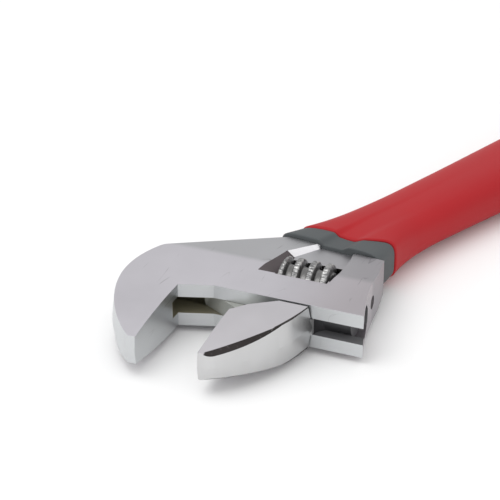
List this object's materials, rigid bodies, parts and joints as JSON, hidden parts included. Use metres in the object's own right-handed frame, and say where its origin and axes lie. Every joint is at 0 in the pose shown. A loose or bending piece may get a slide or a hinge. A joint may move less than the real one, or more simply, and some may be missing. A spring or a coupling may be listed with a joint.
{
  "type": "adjustable wrench",
  "caption": "Adjustable wrench with an angled head, a movable jaw on a round rail, a thumb knurl and a two-colour moulded grip with a hang hole.",
  "frame": {"origin": "centre of the fixed jaw's gripping face, at mid thickness", "axes": "+X along the jaw's slide, opening the jaw; +Y away from the jaw tips, towards the handle's end; +Z the thickness, out of the upper face"},
  "size_m": [0.1218, 0.2347, 0.0156],
  "materials": {
    "body_steel": "satin chrome plating over forged steel",
    "jaw_steel": "satin chrome plating with a dark unpolished chamfer",
    "knurl_steel": "machined and oiled",
    "pin_steel": "turned",
    "spring_steel": "drawn wire",
    "core_plastic": "fine matt moulding",
    "cover_rubber": "smooth satin moulding"
  },
  "bodies": {
    "wrench": {"wrench_body": "body_steel", "grip_core": "core_plastic", "grip_cover": "cover_rubber", "knurl_pin": "pin_steel", "knurl_spring": "spring_steel"},
    "jaw": {"movable_jaw": "jaw_steel"},
    "knurl": {"knurl": "knurl_steel"}
  },
  "joints": [
    {"name": "jaw_slide", "type": "slide", "parent": "wrench", "child": "jaw", "axis": [1, 0, 0], "range_m": [-0.0172, 0.0147]},
    {"name": "knurl_spin", "type": "hinge", "parent": "wrench", "child": "knurl", "pos_m": [0.0281, 0.03335, 0], "axis": [1, 0, 0], "range_deg": [-1330, 1555]}
  ],
  "couplings": [
    {"joint": "knurl_spin", "follows": "jaw_slide", "rad_per_m": -1570.8}
  ]
}
